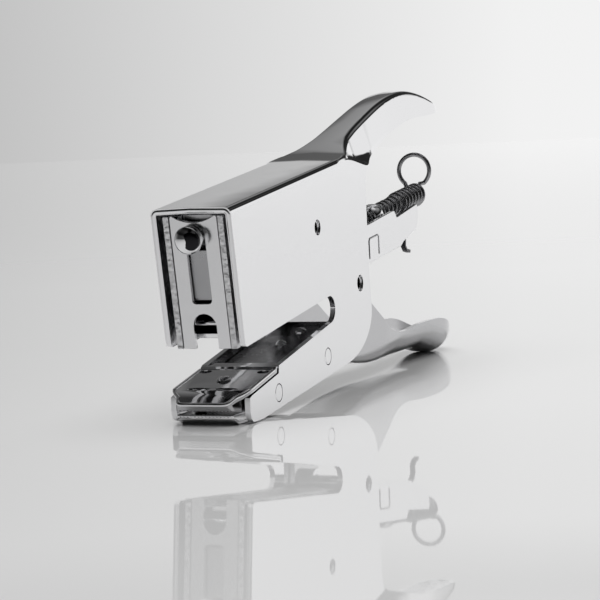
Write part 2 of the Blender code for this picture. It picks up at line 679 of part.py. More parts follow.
def make_pins(chrome, spring_steel):
    tube_across("pivot_pin", PIVOT, PIVOT_RADIUS, 1.5, HALF - PIN_RECESS, chrome)
    tube_across("stop_pin", STOP_PIN, PIN_RADIUS, 1.3, HALF - PIN_RECESS, chrome)

    radius, gauge = PIN_RADIUS + 1.1, 0.5
    y, z = STOP_PIN
    turns, steps = 4, 12
    points = [(-3.0, 44.0, 53.6), (-3.0, 41.0, 52.4), (-3.0, y + 3.4, z + 3.3)]
    for i in range(turns * steps + steps // 2 + 1):
        a = math.radians(40) - 2 * math.pi * i / steps
        x = -2.8 + 5.6 * i / (turns * steps + steps // 2)
        points.append((x, y + radius * math.cos(a), z + radius * math.sin(a)))
    py, pz = CROSS_PIN
    points += [(3.0, y - 6.0, z - 1.6), (3.0, py + 6.5, pz - 3.6)]
    wire("return_spring", points, gauge, spring_steel, 1)


def set_origins(names, point):
    """Moves the origins of moving pieces on to the axis of their joint."""
    for name in names:
        obj = bpy.data.objects[name]
        obj.data.transform(Matrix.Translation(-point))
        obj.location = point


def main():
    for obj in list(bpy.data.objects):
        bpy.data.objects.remove(obj, do_unlink=True)
    chrome = material("chrome", (0.78, 0.78, 0.79), 0.08, 1.0)
    satin = material("satin_chrome", (0.62, 0.62, 0.63), 0.30, 1.0)
    steel = material("bright_steel", (0.50, 0.50, 0.51), 0.25, 1.0)
    raw = material("raw_edged_steel", (0.38, 0.38, 0.39), 0.45, 1.0)
    dark = material("dark_steel", (0.10, 0.10, 0.11), 0.35, 1.0)
    spring_steel = material("spring_steel", (0.07, 0.07, 0.08), 0.28, 1.0)
    make_body(chrome)
    make_jaw(steel, chrome, dark)
    make_lever(chrome, steel, chrome)
    make_nose(satin, raw)
    make_rail(chrome, steel)
    make_staples(steel)
    make_pusher(steel, chrome, spring_steel)
    make_driver(satin, steel, chrome)
    make_pins(chrome, spring_steel)
    on_lever = ("lower_handle", "lever_cross_pin", "pivot_spacer_left", "pivot_spacer_right", "return_spring")
    set_origins(on_lever, world(0, *PIVOT))
    set_origins(("nose_plate", "magazine_housing", "staple_rail", "tail_hook", "staple_strip"), world(0, *PIVOT))
    set_origins(("driver_blade", "driver_carrier", "driver_stud"), world(0, *nose(2.75, 22.0)))
    on_rod = ("pusher", "pusher_rod", "rod_ferrule", "pull_ring", "pusher_spring")
    set_origins(on_rod, world(0, 88.0, rod_point(88.0)))


main()
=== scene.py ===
"""Looks of the chromed stapling plier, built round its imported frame.

Lengths are in millimetres up to the point where they become Blender coordinates. Side views
measure Y from the front rivet of the jaw, as the part's own source does.
"""

import json
import math

import bmesh
import bpy
from mathutils import Matrix, Vector
from mathutils.geometry import tessellate_polygon

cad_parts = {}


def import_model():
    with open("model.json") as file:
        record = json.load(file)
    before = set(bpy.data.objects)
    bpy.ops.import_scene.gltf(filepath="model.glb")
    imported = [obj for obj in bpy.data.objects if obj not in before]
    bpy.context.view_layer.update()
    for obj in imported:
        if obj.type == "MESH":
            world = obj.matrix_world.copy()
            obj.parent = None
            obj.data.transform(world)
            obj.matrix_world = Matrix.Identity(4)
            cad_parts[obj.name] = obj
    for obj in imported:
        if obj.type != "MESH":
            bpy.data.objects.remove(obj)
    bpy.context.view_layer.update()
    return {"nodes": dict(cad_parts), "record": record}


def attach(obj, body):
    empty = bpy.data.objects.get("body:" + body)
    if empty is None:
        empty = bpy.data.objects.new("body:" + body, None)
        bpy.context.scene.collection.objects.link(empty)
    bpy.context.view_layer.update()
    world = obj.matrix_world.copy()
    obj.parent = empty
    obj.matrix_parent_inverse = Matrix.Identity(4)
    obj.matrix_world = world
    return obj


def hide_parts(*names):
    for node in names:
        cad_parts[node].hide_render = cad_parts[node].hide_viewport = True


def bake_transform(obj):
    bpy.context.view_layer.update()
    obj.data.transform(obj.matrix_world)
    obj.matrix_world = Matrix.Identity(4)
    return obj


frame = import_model()

MM = 0.001
RIVET_TO_MIDDLE = 58.13
HALF = 9.75
SHEET = 1.3
FAR = 40.0
PIVOT = (54.7, 25.7)
STOP_PIN = (27.7, 41.3)
JAW_RIVETS = ((0.0, 5.0), (30.9, 9.8))
CROSS_PIN = (-6.5, 44.0)
HEAD_CORNER = (-17.3, 17.0)
HEAD_LEAN = math.radians(8.74)
RAIL_SLOPE = 0.1205
JAW_SLOPE = 0.2025
HEAD_UNDERSIDE_SLOPE = 0.1446
ROD_LIFT = 9.5
JAW_FLOOR_DEPTH = 2.6

# Materials

def node_adder(tree):
    """A function that adds a node to the tree and sets or links its inputs."""
    def add(kind, **inputs):
        node = tree.nodes.new("ShaderNode" + kind)
        for key, value in inputs.items():
            socket = node.inputs[key.replace("_", " ")]
            if isinstance(value, bpy.types.NodeSocket):
                tree.links.new(value, socket)
            else:
                socket.default_value = value
        return node

    return add


def new_material(name):
    mat = bpy.data.materials.new(name)
    mat.use_nodes = True
    return mat, mat.node_tree.nodes["Principled BSDF"]


def metal(name, color, roughness, smudge=0.0, ripple=0.0, ripple_scale=60.0, grain=0.0, grain_axis=0):
    """Metal with handling smudges in its roughness and a slight ripple or grain in its surface."""
    mat, shader = new_material(name)
    add = node_adder(mat.node_tree)
    link = mat.node_tree.links.new
    shader.inputs["Base Color"].default_value = (*color, 1.0)
    shader.inputs["Metallic"].default_value = 1.0
    place = add("TexCoord").outputs["Object"]
    soft = add("TexNoise", Vector=place, Scale=170.0, Detail=5.0, Roughness=0.65).outputs["Fac"]
    spread = add("MapRange", Value=soft, From_Min=0.35, From_Max=0.75)
    spread.inputs["To Min"].default_value = roughness
    spread.inputs["To Max"].default_value = roughness + smudge
    link(spread.outputs["Result"], shader.inputs["Roughness"])
    normal = None
    if ripple:
        wave = add("TexNoise", Vector=place, Scale=ripple_scale, Detail=1.0).outputs["Fac"]
        bump = add("Bump", Height=wave, Strength=ripple, Distance=0.0006)
        normal = bump.outputs["Normal"]
    if grain:
        stretch = [900.0] * 3
        stretch[grain_axis] = 25.0
        lines = add("Mapping", Vector=place, Scale=stretch).outputs["Vector"]
        streak = add("TexNoise", Vector=lines, Scale=1.0, Detail=3.0).outputs["Fac"]
        bump = add("Bump", Height=streak, Strength=grain, Distance=0.00006)
        if normal:
            link(normal, bump.inputs["Normal"])
        normal = bump.outputs["Normal"]
    if normal:
        link(normal, shader.inputs["Normal"])
    return mat


chrome = metal("chrome", (0.86, 0.86, 0.87), 0.035, smudge=0.05, ripple=0.05)
# lever_chrome is the body's chrome with a darker colour: painted shade for the shadowed floor that the
# lever's lower sides mirror.
lever_chrome = metal("lever_chrome", (0.53, 0.53, 0.54), 0.06, smudge=0.06, ripple=0.05)
# anvil_chrome is the same chrome with a darker colour: painted shade for the darker reflections on the anvil
# plate.
anvil_chrome = metal("anvil_chrome", (0.62, 0.62, 0.63), 0.05, smudge=0.06, ripple=0.08, ripple_scale=120.0)
satin = metal(
    "satin_chrome", (0.76, 0.76, 0.77), 0.16, smudge=0.08,
    ripple=0.25, ripple_scale=50.0, grain=0.10, grain_axis=2,
)
brushed = metal("brushed_blade", (0.42, 0.42, 0.43), 0.26, smudge=0.10, grain=0.30, grain_axis=2)
raw_edge = metal("raw_pressed_edge", (0.72, 0.72, 0.73), 0.34, smudge=0.18, ripple=0.6, ripple_scale=900.0)
plain_steel = metal("plain_steel", (0.45, 0.45, 0.46), 0.20, smudge=0.12, ripple=0.10, ripple_scale=160.0)
dark_steel = metal("dark_steel", (0.07, 0.07, 0.075), 0.24, smudge=0.15, ripple=0.10, ripple_scale=300.0)
# Near-black painted shade and dark reflection for the face of the driver's stud.
painted_shade_cap = metal("painted_shade_cap", (0.02, 0.02, 0.022), 0.20, smudge=0.10, ripple=0.10, ripple_scale=300.0)
base_steel = metal("base_steel", (0.66, 0.66, 0.67), 0.14, smudge=0.12, ripple=0.15, ripple_scale=160.0)
wire_steel = metal("wire_steel", (0.36, 0.36, 0.37), 0.20, smudge=0.12, ripple=0.05, ripple_scale=300.0)

SLOT_FINISH = {
    "body_chrome": chrome, "lever_chrome": lever_chrome, "anvil_chrome": anvil_chrome, "pin_chrome": chrome,
    "rail_chrome": chrome, "stud_chrome": chrome, "ferrule_chrome": chrome, "nose_satin": satin,
    "blade_steel": brushed, "raw_edge_steel": raw_edge, "inner_steel": plain_steel, "strip_steel": chrome,
    "staple_wire": plain_steel, "hook_steel": dark_steel, "dark_steel": base_steel, "rod_steel": plain_steel,
    "spring_steel": wire_steel, "ring_wire": wire_steel,
}
SLOT_OF = {entry["node"]: entry["material_slot"] for entry in frame["record"]["subparts"]}
for node_name, node_object in frame["nodes"].items():
    node_object.data.materials.clear()
    node_object.data.materials.append(SLOT_FINISH[SLOT_OF[node_name]])


# Lines of the side view

def head_top(y):
    return 51.63 + 0.1329 * y


def jaw_top(y):
    return 11.1 + JAW_SLOPE * y


def anvil_top(y):
    return 10.7 + 0.2 * y - 0.28 * max(0.0, -15.6 - y)


def rail_bottom(y):
    return 20.6 + RAIL_SLOPE * y


def rod_point(y):
    return rail_bottom(y) + ROD_LIFT


def nose(depth, height):
    """Side-view point at a depth behind the head's front edge and a height along it."""
    c, s = math.cos(HEAD_LEAN), math.sin(HEAD_LEAN)
    return (HEAD_CORNER[0] + depth * c - height * s, HEAD_CORNER[1] + depth * s + height * c)


def world(x, y, z):
    """Blender coordinates of a point in millimetres behind the front jaw rivet."""
    return Vector((x * MM, (y - RIVET_TO_MIDDLE) * MM, z * MM))


def across(a, b, depth):
    """Side-view point (a, b) at a distance from the middle plane."""
    return world(depth, a, b)


def in_nose(a, b, depth):
    """Front-view point of the nose: a across, b up along it, depth behind the head's front edge."""
    return world(a, *nose(depth, b))


# Shape helpers

def arc(center, radius, start, end, steps):
    points = []
    for i in range(steps + 1):
        a = math.radians(start + (end - start) * i / steps)
        points.append((center[0] + radius * math.cos(a), center[1] + radius * math.sin(a)))
    return points


def circle(center, radius, steps=48):
    return arc(center, radius, 0, 360, steps)[:-1]


def hermite(knots, y):
    """Smooth curve through (y, value, slope) knots, straight beyond its ends."""
    first, last = knots[0], knots[-1]
    if y <= first[0]:
        return first[1] + first[2] * (y - first[0])
    if y >= last[0]:
        return last[1] + last[2] * (y - last[0])
    for a, b in zip(knots, knots[1:]):
        if y <= b[0]:
            span = b[0] - a[0]
            t = (y - a[0]) / span
            return (
                (2 * t**3 - 3 * t**2 + 1) * a[1]
                + (t**3 - 2 * t**2 + t) * span * a[2]
                + (3 * t**2 - 2 * t**3) * b[1]
                + (t**3 - t**2) * span * b[2]
            )


def rounded(points, radii, steps, share=0.49):
    """Polyline with its corners rounded to the radii, as far as a share of each side allows."""
    result = [points[0]]
    for before, corner, after, radius in zip(points, points[1:], points[2:], radii):
        p, c, q = Vector(before), Vector(corner), Vector(after)
        u, v = (p - c).normalized(), (q - c).normalized()
        half_angle = u.angle(v) / 2
        setback = min(radius / math.tan(half_angle), (p - c).length * share, (q - c).length * share)
        center = c + (u + v).normalized() * setback / math.cos(half_angle)
        from_point = (c + u * setback) - center
        to_point = (c + v * setback) - center
        for i in range(steps + 1):
            way = from_point.slerp(to_point, i / steps).normalized()
            result.append(tuple(center + way * from_point.length))
    result.append(points[-1])
    return result


def stations(start, end, step):
    count = max(1, round((end - start) / step))
    return [start + (end - start) * i / count for i in range(count + 1)]


def add_to_scene(name, data):
    obj = bpy.data.objects.new(name, data)
    bpy.context.scene.collection.objects.link(obj)
    return obj


def new_object(name, bm):
    bmesh.ops.remove_doubles(bm, verts=bm.verts, dist=1e-7)
    bmesh.ops.recalc_face_normals(bm, faces=bm.faces)
    mesh = bpy.data.meshes.new(name)
    bm.to_mesh(mesh)
    bm.free()
    return add_to_scene(name, mesh)


def add_prism(bm, outline, low, high, place, holes=()):
    """Adds an outline with holes, extruded from low to high. place turns (a, b, depth) into a point."""
    loops = [outline, *holes]
    flat = [Vector((a, b, 0)) for loop in loops for a, b in loop]
    triangles = tessellate_polygon([[Vector((a, b, 0)) for a, b in loop] for loop in loops])
    ends = [[bm.verts.new(place(p.x, p.y, depth)) for p in flat] for depth in (low, high)]
    for verts in ends:
        for tri in triangles:
            bm.faces.new([verts[i] for i in tri])
    first = 0
    for loop in loops:
        count = len(loop)
        for i in range(count):
            a, b = first + i, first + (i + 1) % count
            bm.faces.new((ends[0][a], ends[0][b], ends[1][b], ends[1][a]))
        first += count


def prism(name, outline, low, high, place=across, holes=()):
    bm = bmesh.new()
    add_prism(bm, outline, low, high, place, holes)
    return new_object(name, bm)


def loft(name, rings):
    """A closed solid through rings with equal numbers of points."""
    bm = bmesh.new()
    loops = [[bm.verts.new(world(*p)) for p in ring] for ring in rings]
    count = len(rings[0])
    for one, two in zip(loops, loops[1:]):
        for i in range(count):
            j = (i + 1) % count
            bm.faces.new((one[i], one[j], two[j], two[i]))
    bm.faces.new(loops[0])
    bm.faces.new(list(reversed(loops[-1])))
    return new_object(name, bm)


def turned(name, profile, place, count=64, closed=False):
    """A turned solid from a (radius, height) profile, or a ring if the profile is closed."""
    bm = bmesh.new()
    angles = [2 * math.pi * i / count for i in range(count)]
    rings = [[bm.verts.new(place(r, a, h)) for a in angles] for r, h in profile]
    pairs = list(zip(rings, rings[1:] + rings[:1])) if closed else list(zip(rings, rings[1:]))
    for one, two in pairs:
        for i in range(count):
            j = (i + 1) % count
            bm.faces.new((one[i], one[j], two[j], two[i]))
    if not closed:
        bm.faces.new(rings[0])
        bm.faces.new(list(reversed(rings[-1])))
    return new_object(name, bm)


def evaluated_mesh(obj):
    graph = bpy.context.evaluated_depsgraph_get()
    return bpy.data.meshes.new_from_object(obj.evaluated_get(graph), depsgraph=graph)


def bake(obj):
    """Replaces the object's mesh by its evaluated one and removes its modifiers."""
    mesh = evaluated_mesh(obj)
    obj.modifiers.clear()
    obj.data = mesh
    mesh.name = obj.name


def combine(obj, steps):
    """Cuts obj by helper solids, or keeps what they share with it, and removes them."""
    for other, operation in steps:
        step = obj.modifiers.new(operation, "BOOLEAN")
        step.operation = operation
        step.object = other
        step.solver = "EXACT"
    bake(obj)
    for other, operation in steps:
        bpy.data.objects.remove(other, do_unlink=True)


def soften(obj, width, segments=2, angle=38):
    """Merges flat faces, rounds the edges that are sharper than the angle and smooths the rest."""
    bm = bmesh.new()
    bm.from_mesh(obj.data)
    bmesh.ops.remove_doubles(bm, verts=bm.verts, dist=2e-6)
    bmesh.ops.dissolve_limit(bm, angle_limit=math.radians(0.4), verts=bm.verts, edges=bm.edges)
    bm.to_mesh(obj.data)
    bm.free()
    obj.data.shade_smooth()
    edge = obj.modifiers.new("edges", "BEVEL")
    edge.width = width * MM
    edge.segments = segments
    edge.limit_method = "ANGLE"
    edge.angle_limit = math.radians(angle)
    edge.use_clamp_overlap = True
    edge.harden_normals = False
    weighted = obj.modifiers.new("normals", "WEIGHTED_NORMAL")
    weighted.keep_sharp = True
    weighted.weight = 80
    bake(obj)


def smooth_below(obj, degrees):
    """Shades the object smooth, except across edges that are sharper than the angle."""
    obj.data.shade_smooth()
    obj.data.set_sharp_from_angle(angle=math.radians(degrees))


def dress(obj, body, slot, *nodes):
    """Gives a piece its finish, the nodes that it stands for and, if one is given, its body."""
    obj.data.materials.clear()
    obj.data.materials.append(SLOT_FINISH[slot])
    if body:
        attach(obj, body)
    if nodes:
        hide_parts(*nodes)


def refine(node, body, width, segments=2, angle=38):
    """A copy of a node with small rounded edges in place of its knife-sharp ones."""
    obj = add_to_scene("fine_" + node, frame["nodes"][node].data.copy())
    soften(obj, width, segments, angle)
    dress(obj, body, SLOT_OF[node], node)


def wire(name, points, radius, sides=5):
    """A round wire with capped ends along (x, y, z) points."""
    curve = bpy.data.curves.new(name, "CURVE")
    curve.dimensions = "3D"
    curve.bevel_depth = radius * MM
    curve.bevel_resolution = sides
    curve.use_fill_caps = True
    spline = curve.splines.new("POLY")
    spline.points.add(len(points) - 1)
    for knot, point in zip(spline.points, points):
        knot.co = (*world(*point), 1.0)
    spline.use_smooth = True
    path = add_to_scene(name, curve)
    mesh = evaluated_mesh(path)
    bpy.data.objects.remove(path, do_unlink=True)
    mesh.shade_smooth()
    return add_to_scene(name, mesh)


# The body sheet

# (y, value, slope) knots of its top line, of its half widths at the fold and below it, and of its shoulder.
RIDGE = (
    (41.0, 57.08, 0.133), (58.4, 61.5, 0.40), (83.0, 69.8, 0.31), (111.5, 75.17, 0.03), (140.0, 70.4, -0.34),
)
FOLD_HALF = (
    (43.5, HALF, 0.0), (53.0, 7.9, -0.36), (64.0, 4.7, -0.12), (76.0, 4.15, 0.0), (118.0, 4.2, 0.01),
    (140.0, 5.2, 0.05),
)
WIDE_HALF = (
    (62.5, HALF, 0.0), (71.5, 7.6, -0.22), (84.0, 5.6, -0.10), (98.0, 4.7, 0.0), (140.0, 5.5, 0.02),
)
SHOULDER = (
    (43.5, 56.3, 0.05), (50.0, 57.0, -0.02), (61.7, 55.4, -0.12), (66.0, 55.6, 0.3), (80.0, 59.4, 0.24),
    (108.0, 66.4, 0.2), (126.0, 68.0, 0.08), (140.0, 69.6, 0.12),
)
HEAD_END = 50.0
BODY_END = 140.2
BODY_TIP = 9.0
CROSS_RADIUS = 6.5
CORNER_DROP = 2.6
HOLLOW_END = 74.0
HOLLOW_FADE = 12.0


def tip_scale(y, end, length):
    """Narrowing of a handle's rounded tip, from 1 down to nearly 0 at its end."""
    t = max(0.0, (y - (end - length)) / length)
    return math.sqrt(max(0.002, 1 - t * t))


def body_ring(y, inset):
    """Cross-section of the folded sheet, open below: its outer side, or its inner one with an inset."""
    end = BODY_END - inset
    narrow = tip_scale(min(y, end), end, BODY_TIP)
    in_head = y < HEAD_END
    fold = (hermite(FOLD_HALF, y) - inset) * narrow
    wide = (hermite(WIDE_HALF, y) - inset) * narrow
    top = (head_top(y) if y < RIDGE[0][0] else hermite(RIDGE, y)) - inset
    crown = 0.25 if in_head else 0.45
    low = (hermite(SHOULDER, y) if y > SHOULDER[0][0] else head_top(y) - CORNER_DROP) - inset * 0.6
    fold = min(fold, wide - 0.01 * narrow)
    corner = max(0.3, (1.6 if in_head else 1.9) - inset) * min(1.0, narrow + 0.15)
    shelf = wide - fold
    fade = min(1.0, max(0.0, (HOLLOW_END - y) / HOLLOW_FADE))
    hollowed = min(1.0, max(0.0, (shelf - 0.4) / 1.6)) * fade
    straight = (wide - 0.12 * shelf, low + 0.12 * (top - crown - low))
    bent = (fold + 0.36 * shelf, low + 0.34 * min(shelf, top - crown - low))
    middle = tuple(a + (b - a) * (0.02 + 0.98 * hollowed) for a, b in zip(straight, bent))
    line = [(wide, -FAR), (wide, low), middle, (fold, top - crown), (0.0, top)]
    side = rounded(line, [0.3, CROSS_RADIUS - inset, corner], 9, 0.7 if in_head else 0.48)
    return [(x, y, z) for x, z in side] + [(-x, y, z) for x, z in reversed(side[:-1])]


def body_outline():
    """Side view of the body: head, throat, jaw, heel and upper handle, closed well above it."""
    head_side = 90 + math.degrees(math.atan(HEAD_UNDERSIDE_SLOPE))
    jaw_side = -90 + math.degrees(math.atan(JAW_SLOPE))
    throat = arc((33.6, 21.0), 3.25, head_side, jaw_side, 28)
    seat = 1.3
    points = [nose(0, 45), nose(0, 1.2), nose(0.3, 0.55), nose(1.0, 0.3), *throat]
    points += [(0.6, jaw_top(0.6)), (0.3, anvil_top(0.3) - seat), (-15.0, anvil_top(-15.0) - seat)]
    points += [(-16.3, anvil_top(-16.3) - seat), (-16.4, 3.0), (-16.0, 1.4), (-15.2, 0.6), (-14.2, 0.35)]
    points += [(-9.4, 0.4)]
    heel = [(42.0, 6.28), (48.0, 7.2), (53.5, 9.0), (57.8, 11.5), (60.8, 14.6), (62.2, 18.5), (61.6, 26.0)]
    points += curve_through(heel, 6)
    points += [(61.3, 34.0), (61.4, 50.0), (62.2, 53.6), (65.0, 55.2)]
    points += [(y, hermite(SHOULDER, y)) for y in stations(68.0, 139.0, 3.0)]
    points += [(145.0, 72.0), (145.0, 90.0), (-30.0, 90.0), nose(0, 60)]
    return points


def curve_through(points, steps):
    """Smooth run of points through a bend, with its ends kept."""
    ends = [points[0], *points, points[-1]]
    result = []
    for p0, p1, p2, p3 in zip(ends, ends[1:], ends[2:], ends[3:]):
        for i in range(steps):
            t = i / steps
            point = []
            for a, b, c, d in zip(p0, p1, p2, p3):
                square = 2 * a - 5 * b + 4 * c - d
                cube = 3 * b - a - 3 * c + d
                point.append(0.5 * (2 * b + (c - a) * t + square * t * t + cube * t**3))
            result.append(tuple(point))
    return [*result, points[-1]]


def make_body():
    rows = [-30.0, 20.0, *stations(41.0, 133.0, 1.4), *stations(134.0, 139.4, 0.5)]
    body = loft("fine_body", [body_ring(y, 0.0) for y in rows])
    hollow = loft("hollow", [body_ring(y, SHEET) for y in (-35.0, *rows[1:-3])])
    bm = bmesh.new()
    for center, radius in ((PIVOT, 2.1), (STOP_PIN, 1.9), (JAW_RIVETS[0], 2.15), (JAW_RIVETS[1], 2.15)):
        add_prism(bm, circle(center, radius), -12.0, 12.0, across)
    holes = new_object("holes", bm)
    profile = prism("profile", body_outline(), -30.0, 30.0)
    combine(body, [(profile, "INTERSECT"), (hollow, "DIFFERENCE"), (holes, "DIFFERENCE")])
    soften(body, 0.40, 4, 42)
    dress(body, "frame", "body_chrome", "body_shell")


# The lower handle

# (y, value, slope) knots of its underside, its half width and the radius of its lower edges.
LEVER_BOTTOM = (
    (40.0, 7.2, 0.0), (50.0, 6.2, -0.12), (62.0, 4.5, -0.13), (76.0, 3.2, -0.05), (92.0, 2.9, 0.0),
    (110.0, 3.1, 0.0), (119.0, 1.9, -0.2), (129.0, 0.15, 0.0), (134.0, 0.4, 0.1), (140.4, 2.5, 0.55),
)
LEVER_WIDTH = ((75.0, 8.15, 0.0), (93.0, 7.5, 0.0), (116.0, 8.15, 0.0))
LEVER_ROUND = ((48.0, 1.6, 0.0), (82.0, 6.2, 0.1), (100.0, 6.9, 0.0), (135.0, 6.9, 0.0))
LEVER_END = 140.4
LEVER_TIP = 16.5
LEVER_SHEET = 1.2


def lever_ring(y, inset):
    """Cross-section of the lever's U, open above: its outer side, or its inner one with an inset."""
    end = LEVER_END - inset
    narrow = tip_scale(min(y, end), end, LEVER_TIP)
    half = (hermite(LEVER_WIDTH, y) - inset) * narrow
    low = hermite(LEVER_BOTTOM, y) + inset
    radius = max(0.3, (hermite(LEVER_ROUND, y) - inset) * min(1.0, narrow + 0.1))
    side = rounded([(half, FAR * 2), (half, low), (0.0, low - 0.15 * narrow)], [radius], 14, 0.92)
    return [(x, y, z) for x, z in side] + [(-x, y, z) for x, z in reversed(side[:-1])]


def lever_outline():
    """Side view of the lever: its front arms, the rim of the handle, and back well below the handle."""
    top = [(0.0, 48.7), (20.0, 51.4), (34.0, 53.2), (40.0, 52.6), (44.5, 49.0), (49.5, 40.0), (55.0, 32.6)]
    top += [(58.6, 28.4), (61.5, 23.6), (64.0, 21.2), (67.1, 19.2)]
    rim = [(75.6, 14.5), (79.0, 12.5), (83.1, 10.9), (87.6, 10.0), (93.0, 9.7), (99.0, 10.1), (106.0, 10.55)]
    rim += [(116.0, 10.6), (122.0, 10.3), (128.0, 9.2), (134.0, 7.0), (138.5, 4.9), (142.0, 3.2)]
    under = [(145.0, -5.0), (47.3, -5.0), (46.0, 12.0), (46.2, 22.0), (43.6, 30.5), (38.0, 36.2)]
    under += [(27.0, 37.7)]
    return arc(CROSS_PIN, 3.0, 270, 90, 16) + curve_through(top + rim, 4) + under


def stop_slot():
    """Curved slot in the lever that lets it turn past the stop pin."""
    away = Vector(STOP_PIN) - Vector(PIVOT)
    start = math.degrees(math.atan2(away.y, away.x))
    end, width, radius = start - 18.6, 2.0, away.length
    far_end = arc(PIVOT, radius, end, end, 1)[0]
    outer = arc(PIVOT, radius + width, start, end, 16)
    inner = arc(PIVOT, radius - width, end, start, 16)
    far_round = arc(far_end, width, end, end - 180, 14)[1:-1]
    near_round = arc(STOP_PIN, width, start + 180, start, 14)[1:-1]
    return outer + far_round + inner + near_round


def make_lever():
    rows = [-20.0, 40.0, *stations(48.0, 124.0, 1.6), *stations(125.0, 140.3, 0.6)]
    lever = loft("fine_lever", [lever_ring(y, 0.0) for y in rows])
    hollow = loft("hollow", [lever_ring(y, LEVER_SHEET) for y in (-25.0, *rows[1:-2])])
    bm = bmesh.new()
    add_prism(bm, circle(PIVOT, 2.1), -12.0, 12.0, across)
    add_prism(bm, circle(CROSS_PIN, 1.45), -12.0, 12.0, across)
    add_prism(bm, stop_slot(), -12.0, 12.0, across)
    holes = new_object("holes", bm)
    profile = prism("profile", lever_outline(), -30.0, 30.0)
    combine(lever, [(profile, "INTERSECT"), (hollow, "DIFFERENCE"), (holes, "DIFFERENCE")])
    soften(lever, 0.3, 3, 42)
    dress(lever, "lever", "lever_chrome", "lower_handle")


# Wires

def around_rod(r, a, y):
    """Point in millimetres at a radius and an angle round the pusher rod."""
    return (r * math.cos(a), y, rod_point(y) + r * math.sin(a))


def make_pull_ring():
    """Wire wound on the rod's end, first tight and then wide, and bent up into a ring."""
    small, large, steps = 2.15, 2.75, 30
    first, middle, last = 94.3, 110.5, 127.6
    tight_turns, wide_turns = 5.0, 6.5
    points = []
    for i in range(int(tight_turns * steps)):
        t = i / (tight_turns * steps)
        r = small + (large - small) * max(0.0, t * tight_turns - 4.0)
        points.append(around_rod(r, 2 * math.pi * tight_turns * t, first + (middle - first) * t))
    for i in range(int(wide_turns * steps) + 1):
        t = i / (wide_turns * steps)
        points.append(around_rod(large, 2 * math.pi * wide_turns * t, middle + (last - middle) * t))
    side = math.copysign(1, points[-1][0])
    x, y, z = -0.9, 129.6, 52.3
    ring_radius = 4.6
    points.append((side * large * 1.02, last + 0.7, rod_point(last) + 1.6))
    for i in range(61):
        a = math.radians(-52 + 284 * i / 60)
        points.append((x + side * ring_radius * math.cos(a), y, z + ring_radius * math.sin(a)))
    points.append((x - side * 2.0, last + 0.4, rod_point(last) + 3.0))
    dress(wire("fine_pull_ring", points, 0.62), "follower", "ring_wire", "pull_ring")


def make_pusher_spring():
    """Spring round the rod, from the follower's ferrule to the pusher."""
    turns, steps = 13, 24
    front, rear = 45.6, 87.3
    points = []
    for i in range(turns * steps + 1):
        points.append(around_rod(2.35, 2 * math.pi * i / steps, front + (rear - front) * i / (turns * steps)))
    spring = wire("fine_pusher_spring", points, 0.42)
    dress(spring, None, "spring_steel", "pusher_spring")
    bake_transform(spring)


def make_return_spring():
    """Torsion spring on the stop pin, with one leg under the cover and one on the lever."""
    y, z = STOP_PIN
    radius, turns, steps = 2.85, 4.5, 32
    points = [(-3.0, 44.0, 53.6), (-3.0, 41.0, 52.4), (-3.0, y + 3.4, z + 3.3)]
    for i in range(int(turns * steps) + 1):
        a = math.radians(40) - 2 * math.pi * i / steps
        points.append((-2.8 + 5.6 * i / (turns * steps), y + radius * math.cos(a), z + radius * math.sin(a)))
    points += [(3.0, y - 6.0, z - 1.2), (3.0, CROSS_PIN[0] + 9.5, CROSS_PIN[1] + 0.6)]
    spring = wire("fine_return_spring", points, 0.5)
    dress(spring, None, "spring_steel", "return_spring")
    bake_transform(spring)


# Turned pieces

def make_stud():
    """The driver's stud: a shank in the slot, a grooved head with a domed face, and a cap on that face,
    painted near-black as painted shade and dark reflection.
    """
    def centered(x, height):
        return lambda r, a, h: in_nose(r * math.cos(a) + x, height + r * math.sin(a), h)

    knob = [(0.05, 3.1), (1.25, 3.1), (1.4, 2.95), (1.4, 0.5), (2.5, 0.45)]
    knob += arc((2.85, 0.2), 0.25, 90, 0, 5)
    knob += [(3.12, -0.6), (2.96, -0.68), (2.96, -0.8), (3.14, -0.9), (3.15, -1.2)]
    knob += arc((0.0, 1.5), 4.25, -43, -89.5, 18)
    stud = turned("fine_stud", knob, centered(-0.8, 24.9))
    smooth_below(stud, 50)
    dress(stud, "driver", "stud_chrome", "driver_stud")
    cap = [(0.03, -1.6), (2.0, -1.6), (2.05, -2.45), (1.9, -2.55), (1.3, -2.71), (0.6, -2.79), (0.03, -2.81)]
    core = turned("fine_stud_cap", cap, centered(0.45, 24.95))
    smooth_below(core, 50)
    dress(core, "driver", "stud_chrome")
    # Painted shade: the cap's near-black colour stands in for the dark reflection and shade on the stud's
    # face.
    core.data.materials[0] = painted_shade_cap


def make_ferrule():
    """The domed ring on the rod, behind its spring."""
    bulge = [(2.6, 87.8), (3.1, 88.6), (3.4, 90.0), (3.3, 91.4), (2.8, 92.6)]
    dome = [(1.05, 87.6), (2.2, 87.6), *curve_through(bulge, 4), (2.2, 93.1), (1.05, 93.4)]
    ferrule = turned("fine_ferrule", dome, lambda r, a, y: world(*around_rod(r, a, y)), closed=True)
    smooth_below(ferrule, 50)
    dress(ferrule, "follower", "ferrule_chrome", "rod_ferrule")


# Rims, marks and the throat's floor

def make_shell_rim():
    """The rounded front edge of the body sheet."""
    inner = HALF - SHEET / 2
    top = 31.41
    half = rounded([(inner, 1.3), (inner, top - 0.25), (0.0, top)], [1.1], 8)
    path = half + [(-a, b) for a, b in reversed(half[:-1])]
    points = [(a, *nose(0.45, b)) for a, b in path]
    dress(wire("fine_shell_rim", points, SHEET / 2, 7), "frame", "body_chrome")


